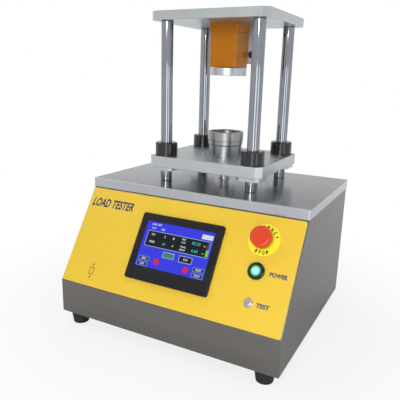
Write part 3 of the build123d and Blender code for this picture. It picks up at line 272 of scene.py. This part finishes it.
# Grained surfaces: darkest and lightest colour, metal share, range of roughness, gloss level, depth of grain
GRAINED = {
    "yellow_sheet": ((229, 191, 56), (235, 198, 62), 0.0, (0.36, 0.44), 0.3),
    "console_alloy": ((176, 178, 182), (188, 190, 194), 0.95, (0.18, 0.24)),
    "plate_alloy": ((176, 181, 183), (190, 195, 197), 0.9, (0.32, 0.4)),
    "chromed_shaft": ((126, 130, 137), (144, 148, 155), 1.0, (0.05, 0.08)),
    "black_cap": ((18, 18, 20), (26, 26, 28), 0.0, (0.16, 0.22)),
    "orange_housing": ((176, 106, 10), (186, 114, 13), 0.0, (0.3, 0.38), 0.22),
    "grey_bracket": ((176, 177, 180), (192, 192, 195), 0.35, (0.38, 0.46)),
    "zinc_screw": ((170, 172, 174), (200, 202, 204), 1.0, (0.2, 0.3)),
    "black_screw": ((14, 14, 15), (22, 22, 23), 0.2, (0.35, 0.45)),
    "black_rubber": ((22, 22, 22), (32, 31, 31), 0.0, (0.6, 0.75), 0.5, RUBBER_DEPTH),
    "screen_case": ((24, 24, 26), (32, 32, 34), 0.0, (0.32, 0.42), 0.3),
    "ring_yellow": ((252, 238, 40), (254, 242, 54), 0.0, (0.4, 0.5), 0.3),
    "stop_red": ((210, 62, 26), (218, 70, 32), 0.0, (0.28, 0.36), 0.45),
    "collar_grey": ((150, 120, 116), (168, 134, 128), 0.0, (0.35, 0.45)),
    "dark_bezel": ((8, 16, 14), (12, 24, 20), 0.0, (0.16, 0.24)),
    "button_steel": ((206, 204, 201), (222, 220, 217), 1.0, (0.24, 0.32)),
    "inlet_black": ((26, 26, 27), (36, 36, 37), 0.0, (0.35, 0.5)),
    "panel_steel": ((158, 158, 156), (174, 174, 172), 0.4, (0.35, 0.45)),
    "motor_black": ((30, 30, 32), (42, 42, 44), 0.2, (0.4, 0.5)),
    "belt_rubber": ((26, 26, 26), (38, 38, 38), 0.0, (0.6, 0.7)),
    "ink": ((62, 68, 92), (72, 78, 104), 0.0, (0.45, 0.55), 0.3),
    "ink_navy": ((34, 42, 92), (42, 50, 104), 0.0, (0.45, 0.55), 0.3),
    "ink_black": ((20, 20, 20), (28, 28, 28), 0.0, (0.45, 0.55)),
}

# Brushed metals: darkest and lightest colour, noise per metre along each axis, range of roughness
BRUSHED = {
    "body_steel": ((110, 108, 104), (136, 133, 129), (2.0, 2.0, 900.0)),
    "bearing_steel": ((170, 172, 175), (204, 205, 208), (40, 40, 2500)),
    "anvil_alloy": ((130, 132, 134), (166, 167, 169), (30, 30, 2200), (0.26, 0.38)),
    "supply_steel": ((166, 167, 168), (200, 200, 202), (2.0, 700.0, 2.0)),
    "bronze": ((150, 112, 60), (190, 146, 84), (30, 30, 2200)),
}

# Lit colours of the screen: colour and strength
GLOWING = {
    "screen_display": ((56, 60, 232), 0.95),
    "screen_black": ((22, 26, 30), 0.8),
    "screen_edge": ((170, 190, 235), 0.8),
    "screen_white": ((225, 235, 250), 0.85),
    "screen_cyan": ((70, 200, 210), 0.8),
    "screen_amber": ((215, 205, 90), 0.8),
    "screen_red": ((235, 40, 60), 0.85),
    "screen_green": ((60, 150, 110), 0.8),
    "screen_lime": ((130, 225, 120), 0.8),
    "screen_violet": ((110, 60, 150), 0.8),
    "screen_slate": ((40, 62, 120), 0.8),
}

materials = {name: grained(name, *values) for name, values in GRAINED.items()}
materials |= {name: brushed(name, *values) for name, values in BRUSHED.items()}
materials |= {name: glowing(name, *values) for name, values in GLOWING.items()}
materials["lens_green"] = lit_lens()

for entry in frame["record"]["subparts"]:
    mesh = frame["nodes"][entry["node"]].data
    mesh.materials.clear()
    mesh.materials.append(materials[entry["material_slot"]])


# Shapes


def add_piece(name, mesh, placement, material):
    """Put a mesh in the scene as a piece that stays with the console."""
    mesh.materials.clear()
    mesh.materials.append(materials[material])
    piece = bpy.data.objects.new(name, mesh)
    bpy.context.scene.collection.objects.link(piece)
    piece.matrix_world = placement
    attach(piece, "chassis")


def plate_mesh(name, outlines, thickness=PRINT_THICKNESS):
    """Thin closed plates from outlines in millimetres, standing on the XY plane."""
    shape = bmesh.new()
    for outline in outlines:
        face = shape.faces.new([shape.verts.new((x * MM, y * MM, 0.0)) for x, y in outline])
        raised = bmesh.ops.extrude_face_region(shape, geom=[face])
        top = [item for item in raised["geom"] if isinstance(item, bmesh.types.BMVert)]
        bmesh.ops.translate(shape, verts=top, vec=(0.0, 0.0, thickness * MM))
    bmesh.ops.recalc_face_normals(shape, faces=shape.faces)
    mesh = bpy.data.meshes.new(name)
    shape.to_mesh(mesh)
    shape.free()
    return mesh


def letters(text, height, width, weight, slant=0.0):
    """A centred word as a thin solid: capitals' height, whole width and added weight in millimetres."""
    curve = bpy.data.curves.new("word", "FONT")
    curve.body = text
    curve.size = height * MM / CAPITAL_SHARE
    curve.offset = weight * MM
    curve.extrude = PRINT_THICKNESS * MM / 2
    curve.resolution_u = CURVE_STEPS
    holder = bpy.data.objects.new("word", curve)
    bpy.context.scene.collection.objects.link(holder)
    bpy.context.view_layer.update()
    mesh = bpy.data.meshes.new_from_object(holder.evaluated_get(bpy.context.evaluated_depsgraph_get()))
    bpy.data.objects.remove(holder)
    low = min(vertex.co.x for vertex in mesh.vertices)
    high = max(vertex.co.x for vertex in mesh.vertices)
    lean = Matrix.Identity(4)
    lean[0][1] = slant
    mesh.transform(Matrix.Translation((-(low + high) / 2, 0.0, PRINT_THICKNESS * MM / 2)))
    mesh.transform(lean @ Matrix.Diagonal((width * MM / (high - low), 1.0, 1.0, 1.0)))
    return mesh


def join_meshes(name, meshes):
    """One mesh from several."""
    shape = bmesh.new()
    for mesh in meshes:
        shape.from_mesh(mesh)
    joined = bpy.data.meshes.new(name)
    shape.to_mesh(joined)
    shape.free()
    for mesh in meshes:
        bpy.data.meshes.remove(mesh)
    return joined


def rectangle(x, y, width, height):
    """The outline of a rectangle about a centre."""
    return [
        (x + sx * width / 2, y + sy * height / 2)
        for sx, sy in ((-1, -1), (1, -1), (1, 1), (-1, 1))
    ]


def disc(x, y, radius, count=40):
    """The outline of a circle about a centre."""
    turns = [2 * math.pi * step / count for step in range(count)]
    return [(x + radius * math.cos(turn), y + radius * math.sin(turn)) for turn in turns]


def border(x, y, width, height, line):
    """Four strips around a rectangle."""
    return [
        rectangle(x, y + (height - line) / 2, width, line),
        rectangle(x, y - (height - line) / 2, width, line),
        rectangle(x - (width - line) / 2, y, line, height - 2 * line),
        rectangle(x + (width - line) / 2, y, line, height - 2 * line),
    ]


# Words on the overlay: text, capitals' height, width, weight, slant, X and drop on the panel, and ink
PANEL_WORDS = {
    "title": ("LOAD TESTER", 18.5, 108.0, 0.75, 0.2, -179.5, 43.0, "ink_navy"),
    "power_word": ("POWER", 7.8, 33.5, 0.5, 0.0, 213.5, 113.0, "ink"),
    "test_word": ("TEST", 7.6, 24.5, 0.5, 0.0, 198.5, 171.0, "ink"),
}
for name, (text, height, width, weight, slant, x, drop, color) in PANEL_WORDS.items():
    add_piece(name, letters(text, height, width, weight, slant), on_panel(x, drop), color)


def load_symbol():
    """A plain symbol of a can between two arrows, in millimetres."""
    can_width, can_height, line = 11.0, 15.0, 1.1
    head_width, head_near, head_far = 4.4, 9.2, 13.2
    shaft_width, shaft_length = 1.4, 4.0
    outlines = border(0.0, 0.0, can_width, can_height, line)
    for way in (-1, 1):
        base = way * head_far
        outlines.append([(-head_width / 2, base), (head_width / 2, base), (0.0, way * head_near)])
        outlines.append(rectangle(0.0, way * (head_far + shaft_length / 2), shaft_width, shaft_length))
    return plate_mesh("load_symbol", outlines)


SYMBOL_X = -176.0
SYMBOL_DROP = 182.0
add_piece("load_symbol", load_symbol(), on_panel(SYMBOL_X, SYMBOL_DROP), "ink_black")


def ring_words():
    """Words around the stop button: text, middle and step in degrees, and which way round it reads."""
    meshes = []
    for text, middle, step, reading in (("EMERGENCY", 104.0, 20.5, -1), ("STOP", -88.0, 17.5, 1)):
        root = RING_LETTER_ROOT if reading < 0 else RING_LETTER_ROOT + RING_LETTER
        for index, letter in enumerate(text):
            angle = math.radians(middle + reading * (index - (len(text) - 1) / 2) * step)
            foot = Vector((math.cos(angle), math.sin(angle), 0.0)) * root * MM
            mesh = letters(letter, RING_LETTER, RING_LETTER * RING_LETTER_ASPECT, RING_LETTER_WEIGHT)
            turn = Matrix.Rotation(angle + reading * math.pi / 2, 4, "Z")
            mesh.transform(Matrix.Translation(foot) @ turn)
            meshes.append(mesh)
    return join_meshes("ring_words", meshes)


add_piece("ring_words", ring_words(), on_panel(CONTROL_X, STOP_DROP, RING_THICKNESS), "ink_black")


# The screen's picture, placed by shares of the display's width and height from its lower left corner


def display_point(u, v):
    """A point of the display in millimetres."""
    return (u - 0.5) * DISPLAY_WIDTH, DISPLAY_RISE + (v - 0.5) * DISPLAY_HEIGHT


def measured(u0, v0, u1, v1):
    """The centre, width and height of a block of the display."""
    x0, y0 = display_point(u0, v0)
    x1, y1 = display_point(u1, v1)
    return (x0 + x1) / 2, (y0 + y1) / 2, x1 - x0, y1 - y0


# Blocks from left, bottom, right and top, and the words on the keys
READINGS = (0.05, 0.45, 0.975, 0.80)
GREEN_KEY = (0.36, 0.27, 0.53, 0.40)
STOP_KEY = (0.60, 0.255, 0.79, 0.40)
LABEL = (0.83, 0.83, 0.985, 0.93)
BARS = {"violet": (0.935, 0.64, 0.965, 0.77), "lime": (0.935, 0.48, 0.965, 0.62)}
KEYS = {
    "MENU": (0.03, 0.135, 0.19, 0.225),
    "TARE": (0.02, 0.015, 0.18, 0.105),
    "RESET": (0.83, 0.135, 0.985, 0.225),
    "PRINT": (0.83, 0.015, 0.985, 0.105),
}
RED_DOTS = ((0.30, 0.16), (0.73, 0.12))
RED_DOT_RADIUS = 6.0
READINGS_LINE = 1.2
WIDE_KEY_LINE = 1.4
KEY_LINE = 0.7
KEY_LETTER = 4.0
KEY_LETTER_DROP = 0.02

LOWER_LAYER = {
    "black": [rectangle(*measured(*READINGS)), rectangle(*measured(*STOP_KEY))],
    "slate": [rectangle(*measured(*key)) for key in KEYS.values()],
    "white": [rectangle(*measured(*LABEL))],
    "red": [disc(*display_point(*dot), RED_DOT_RADIUS) for dot in RED_DOTS],
    "green": [rectangle(*measured(*GREEN_KEY))],
}
UPPER_LAYER = {
    "edge": border(*measured(*READINGS), READINGS_LINE),
    "violet": [rectangle(*measured(*BARS["violet"]))],
    "lime": [rectangle(*measured(*BARS["lime"]))],
}
for key in (STOP_KEY, GREEN_KEY):
    UPPER_LAYER["edge"] += border(*measured(*key), WIDE_KEY_LINE)
for key in KEYS.values():
    UPPER_LAYER["edge"] += border(*measured(*key), KEY_LINE)
for level, layer in enumerate((LOWER_LAYER, UPPER_LAYER)):
    for color, outlines in layer.items():
        name = f"screen_{color}_{level + 1}"
        placement = on_panel(0.0, SCREEN_DROP, GLASS_HEIGHT + level * PRINT_THICKNESS)
        add_piece(name, plate_mesh(name, outlines), placement, f"screen_{color}")

# Words on the screen: text, centre, and capitals' height in millimetres
SCREEN_WORDS = {
    "white": [
        ("LOAD TEST", 0.15, 0.925, 4.0), ("DATE", 0.12, 0.84, 3.6), ("TIME", 0.26, 0.84, 3.6),
        ("RUN", 0.14, 0.70, 4.2), ("SPEED", 0.15, 0.54, 4.2),
        ("2", 0.32, 0.69, 4.6), ("1", 0.45, 0.69, 4.6), ("4", 0.46, 0.53, 4.6),
        ("PEAK", 0.60, 0.725, 3.4), ("LOAD", 0.60, 0.66, 3.4),
        ("TRAVEL", 0.61, 0.565, 3.4), ("HEIGHT", 0.61, 0.50, 3.4),
    ],
    "cyan": [("60", 0.33, 0.53, 5.0), ("85.20", 0.78, 0.675, 6.0), ("4.60", 0.78, 0.515, 6.0)],
    "amber": [("kg", 0.90, 0.675, 3.6), ("mm", 0.90, 0.515, 3.6)],
}
for word, (u0, v0, u1, v1) in (*KEYS.items(), ("STOP", STOP_KEY)):
    SCREEN_WORDS["white"].append((word, (u0 + u1) / 2, (v0 + v1) / 2 - KEY_LETTER_DROP, KEY_LETTER))
for color, words in SCREEN_WORDS.items():
    meshes = []
    for text, u, v, height in words:
        mesh = letters(text, height, height * SCREEN_LETTER_ASPECT * len(text), SCREEN_LETTER_WEIGHT)
        x, y = display_point(u, v)
        mesh.transform(Matrix.Translation((x * MM, y * MM, 0.0)))
        meshes.append(mesh)
    name = f"screen_words_{color}"
    placement = on_panel(0.0, SCREEN_DROP, GLASS_HEIGHT + PRINT_THICKNESS)
    add_piece(name, join_meshes(name, meshes), placement, f"screen_{color}")


# Stage: floor, lamps, world and camera


def rays_for_backdrop(tree):
    """Whether a ray is the camera's, and whether it is a camera, glossy or transmission ray, as 1 or 0."""
    rays = tree.nodes.new("ShaderNodeLightPath")
    camera = rays.outputs["Is Camera Ray"]
    seen = math_node(tree, "MAXIMUM", camera, rays.outputs["Is Glossy Ray"])
    seen = math_node(tree, "MAXIMUM", seen, rays.outputs["Is Transmission Ray"])
    return camera, seen


def mix_shaders(tree, factor, first, second, output):
    """Feed an output with a mix of two shaders."""
    mix = tree.nodes.new("ShaderNodeMixShader")
    tree.links.new(factor, mix.inputs["Fac"])
    tree.links.new(first, mix.inputs[1])
    tree.links.new(second, mix.inputs[2])
    tree.links.new(mix.outputs["Shader"], output.inputs["Surface"])


def stage_floor():
    """A pale floor that turns to the backdrop's white away from the object and keeps its shadow."""
    mesh = plate_mesh("floor", [rectangle(0.0, 0.0, FLOOR_SIDE, FLOOR_SIDE)], FLOOR_THICKNESS)
    floor = bpy.data.objects.new("floor", mesh)
    bpy.context.scene.collection.objects.link(floor)
    floor.location.z = -(FLOOR_THICKNESS + FLOOR_GAP) * MM
    material = bpy.data.materials.new("floor")
    material.use_nodes = True
    tree = material.node_tree
    tree.nodes.clear()
    output = tree.nodes.new("ShaderNodeOutputMaterial")
    diffuse = tree.nodes.new("ShaderNodeBsdfDiffuse")
    diffuse.inputs["Color"].default_value = FLOOR_COLOR
    white = tree.nodes.new("ShaderNodeEmission")
    white.inputs["Strength"].default_value = 1.0
    place = tree.nodes.new("ShaderNodeTexCoord")
    length = tree.nodes.new("ShaderNodeVectorMath")
    length.operation = "LENGTH"
    tree.links.new(place.outputs["Object"], length.inputs[0])
    far = map_range(tree, length.outputs["Value"], FLOOR_FADE, (0.0, 1.0))
    camera, seen = rays_for_backdrop(tree)
    share = math_node(tree, "MULTIPLY_ADD", camera, FLOOR_WHITE_SHARE, far)
    share = math_node(tree, "MULTIPLY", math_node(tree, "MINIMUM", share, 1.0), seen)
    mix_shaders(tree, share, diffuse.outputs["BSDF"], white.outputs["Emission"], output)
    mesh.materials.append(material)


def area_light(name, azimuth, elevation, distance, size, level):
    """A soft box around the object. The level is what a white matt surface facing it sends back."""
    lamp = bpy.data.lights.new(name, "AREA")
    lamp.shape = "RECTANGLE"
    lamp.size, lamp.size_y = size
    lamp.energy = level * math.pi ** 2 * distance ** 2
    holder = bpy.data.objects.new(name, lamp)
    bpy.context.scene.collection.objects.link(holder)
    turn, rise = math.radians(azimuth), math.radians(elevation)
    way = Vector((math.sin(turn) * math.cos(rise), -math.cos(turn) * math.cos(rise), math.sin(rise)))
    holder.location = LIT_POINT + way * distance
    holder.rotation_euler = (-way).to_track_quat("-Z", "Y").to_euler()
    holder.visible_camera = False


def light_world():
    """Even grey light, a white backdrop, and for reflections white around the horizon and a grey ceiling."""
    world = bpy.data.worlds.new("studio")
    bpy.context.scene.world = world
    world.use_nodes = True
    tree = world.node_tree
    tree.nodes.clear()
    output = tree.nodes.new("ShaderNodeOutputWorld")
    room = tree.nodes.new("ShaderNodeBackground")
    room.inputs["Color"].default_value = ROOM_COLOR
    room.inputs["Strength"].default_value = ROOM_LEVEL
    backdrop = tree.nodes.new("ShaderNodeBackground")
    backdrop.inputs["Color"].default_value = WHITE
    place = tree.nodes.new("ShaderNodeTexCoord")
    split = tree.nodes.new("ShaderNodeSeparateXYZ")
    tree.links.new(place.outputs["Generated"], split.inputs["Vector"])
    heights = [math.sin(math.radians(height)) for height in (BACKDROP_TOP, CEILING_FROM)]
    ceiling = map_range(tree, split.outputs["Z"], heights, (1.0, CEILING_LEVEL), "SMOOTHSTEP")
    camera, seen = rays_for_backdrop(tree)
    tree.links.new(math_node(tree, "MAXIMUM", ceiling, camera), backdrop.inputs["Strength"])
    mix_shaders(tree, seen, room.outputs["Background"], backdrop.outputs["Background"], output)


def place_camera():
    """The camera at the photograph's place, turned, tilted and rolled."""
    forward = Vector((
        -math.sin(CAMERA_TURN) * math.cos(CAMERA_TILT),
        math.cos(CAMERA_TURN) * math.cos(CAMERA_TILT),
        -math.sin(CAMERA_TILT),
    ))
    level_right = forward.cross(Vector((0.0, 0.0, 1.0))).normalized()
    level_up = level_right.cross(forward)
    right = level_right * math.cos(CAMERA_ROLL) + level_up * math.sin(CAMERA_ROLL)
    up = level_up * math.cos(CAMERA_ROLL) - level_right * math.sin(CAMERA_ROLL)
    camera = bpy.data.cameras.new("camera")
    camera.sensor_width = SENSOR
    camera.lens = FOCAL_WIDTHS * SENSOR
    camera.clip_start = 0.01
    camera.clip_end = 100.0
    holder = bpy.data.objects.new("camera", camera)
    bpy.context.scene.collection.objects.link(holder)
    turn = Matrix((right, up, -forward)).transposed().to_4x4()
    holder.matrix_world = Matrix.Translation(CAMERA_PLACE) @ turn
    bpy.context.scene.camera = holder


stage_floor()
for name, values in LAMPS.items():
    area_light(name, *values)
light_world()
place_camera()
bpy.context.scene.view_settings.view_transform = "Standard"
